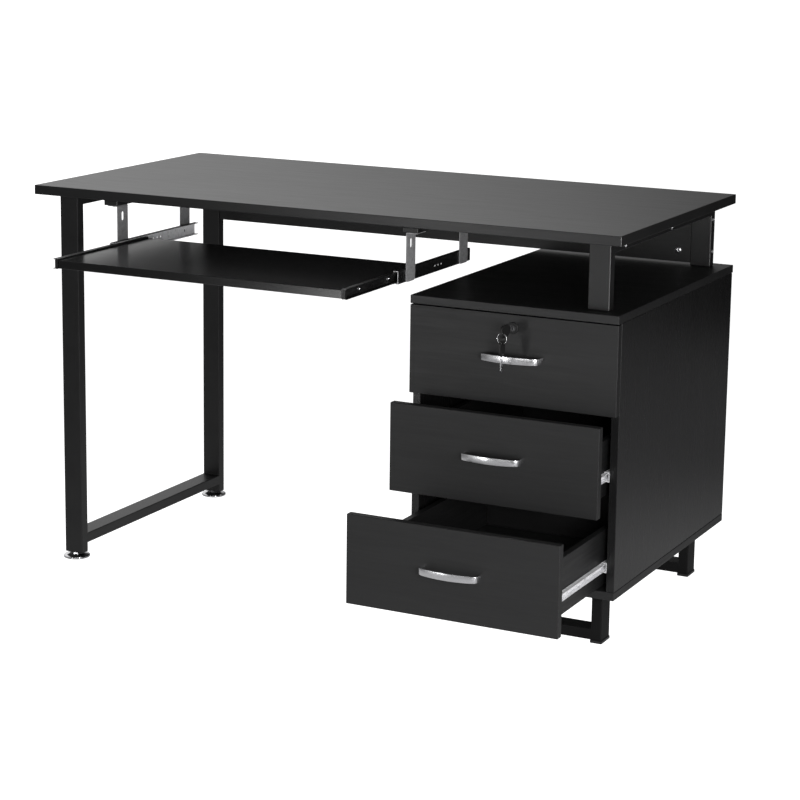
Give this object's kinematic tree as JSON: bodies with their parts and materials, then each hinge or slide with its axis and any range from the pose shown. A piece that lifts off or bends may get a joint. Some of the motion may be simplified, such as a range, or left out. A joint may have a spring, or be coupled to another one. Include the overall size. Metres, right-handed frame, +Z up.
{
  "type": "computer desk",
  "caption": "Black desk with a pull-out keyboard tray on side slides, a steel leg frame at the left and a lockable drawer cabinet at the right.",
  "frame": {"origin": "on the floor, at the middle of the desk's width and of its depth as it stands at rest, from the desktop's rear edge to the bow of the bottom drawer's handle", "axes": "+X to the right along the desk's width as a sitter sees it, +Y to the back, +Z up; the drawers and the tray pull out along -Y"},
  "size_m": [1.2, 0.859, 0.74],
  "materials": {
    "bracket_steel": "dark plated pressed steel",
    "cabinet_back": "black laminated chipboard, satin with a fine texture",
    "cabinet_bottom_board": "black laminated chipboard, satin with a fine texture",
    "cabinet_left_side": "black laminated chipboard, satin with a fine texture",
    "cabinet_right_side": "black laminated chipboard, satin with a fine texture",
    "cabinet_top_board": "black laminated chipboard, satin with a fine texture",
    "desktop": "black laminated chipboard, satin with a fine texture",
    "drawer_base_board": "thin black faced hardboard, satin",
    "drawer_box_board": "black laminated chipboard, satin with a fine texture",
    "drawer_front_board": "black laminated chipboard, satin with a fine texture",
    "foot_chrome": "polished chrome",
    "front_foot_frame": "black powder coat, semi-gloss",
    "handle_chrome": "polished chrome",
    "key_black": "black moulded head; the blade is plain steel",
    "keyboard_tray": "black laminated chipboard, satin with a fine texture",
    "left_leg_frame": "black powder coat, semi-gloss",
    "lock_black": "black enamel on zinc alloy",
    "lock_zinc": "zinc plate",
    "rear_foot_frame": "black powder coat, semi-gloss",
    "rear_panel": "black laminated chipboard, satin with a fine texture",
    "right_post_frame": "black powder coat, semi-gloss",
    "ring_steel": "bright steel wire",
    "slide_zinc": "bright zinc plate on rolled sheet",
    "strip_black": "black painted wood strip",
    "tray_slide_steel": "dark plated rolled sheet"
  },
  "bodies": {
    "frame": {"desktop": "desktop", "left_leg_frame": "left_leg_frame", "left_foot_front": "foot_chrome", "left_foot_rear": "foot_chrome", "right_post_frame": "right_post_frame", "rear_panel": "rear_panel", "cabinet_top_board": "cabinet_top_board", "cabinet_bottom_board": "cabinet_bottom_board", "cabinet_left_side": "cabinet_left_side", "cabinet_right_side": "cabinet_right_side", "cabinet_back": "cabinet_back", "front_foot_frame": "front_foot_frame", "rear_foot_frame": "rear_foot_frame", "drawer_top_fixed_slide_left": "slide_zinc", "drawer_top_fixed_slide_right": "slide_zinc", "drawer_middle_fixed_slide_left": "slide_zinc", "drawer_middle_fixed_slide_right": "slide_zinc", "drawer_bottom_fixed_slide_left": "slide_zinc", "drawer_bottom_fixed_slide_right": "slide_zinc", "tray_fixed_slide_left": "tray_slide_steel", "tray_strip_left": "strip_black", "tray_bracket_left_front": "bracket_steel", "tray_bracket_left_rear": "bracket_steel", "tray_fixed_slide_right": "tray_slide_steel", "tray_strip_right": "strip_black", "tray_bracket_right_front": "bracket_steel", "tray_bracket_right_rear": "bracket_steel"},
    "tray": {"keyboard_tray": "keyboard_tray", "tray_moving_slide_left": "tray_slide_steel", "tray_moving_slide_right": "tray_slide_steel"},
    "lock": {"lock_cam": "lock_zinc", "lock_key": "key_black"},
    "key_ring": {"key_ring": "ring_steel", "spare_key": "key_black"},
    "drawer_top": {"drawer_top_front": "drawer_front_board", "drawer_top_left_side": "drawer_box_board", "drawer_top_right_side": "drawer_box_board", "drawer_top_back": "drawer_box_board", "drawer_top_base": "drawer_base_board", "drawer_top_handle": "handle_chrome", "drawer_top_moving_slide_left": "slide_zinc", "drawer_top_moving_slide_right": "slide_zinc", "lock_barrel": "lock_black"},
    "drawer_middle": {"drawer_middle_front": "drawer_front_board", "drawer_middle_left_side": "drawer_box_board", "drawer_middle_right_side": "drawer_box_board", "drawer_middle_back": "drawer_box_board", "drawer_middle_base": "drawer_base_board", "drawer_middle_handle": "handle_chrome", "drawer_middle_moving_slide_left": "slide_zinc", "drawer_middle_moving_slide_right": "slide_zinc"},
    "drawer_bottom": {"drawer_bottom_front": "drawer_front_board", "drawer_bottom_left_side": "drawer_box_board", "drawer_bottom_right_side": "drawer_box_board", "drawer_bottom_back": "drawer_box_board", "drawer_bottom_base": "drawer_base_board", "drawer_bottom_handle": "handle_chrome", "drawer_bottom_moving_slide_left": "slide_zinc", "drawer_bottom_moving_slide_right": "slide_zinc"}
  },
  "joints": [
    {"name": "drawer_top_slide", "type": "slide", "parent": "frame", "child": "drawer_top", "axis": [0, -1, 0], "range_m": [0, 0.33]},
    {"name": "drawer_middle_slide", "type": "slide", "parent": "frame", "child": "drawer_middle", "axis": [0, -1, 0], "range_m": [-0.074, 0.256]},
    {"name": "drawer_bottom_slide", "type": "slide", "parent": "frame", "child": "drawer_bottom", "axis": [0, -1, 0], "range_m": [-0.234, 0.096]},
    {"name": "tray_slide", "type": "slide", "parent": "frame", "child": "tray", "axis": [0, -1, 0], "range_m": [-0.186, 0.06]},
    {"name": "lock_turn", "type": "hinge", "parent": "drawer_top", "child": "lock", "pos_m": [0.404, -0.1705, 0.563], "axis": [0, 1, 0], "range_deg": [0, 90]},
    {"name": "key_ring_swing", "type": "hinge", "parent": "lock", "child": "key_ring", "pos_m": [0.404, -0.2155, 0.55575], "axis": [0, 1, 0], "range_deg": [-90, 0]}
  ],
  "couplings": [
    {"joint": "key_ring_swing", "follows": "lock_turn", "ratio": -1}
  ]
}
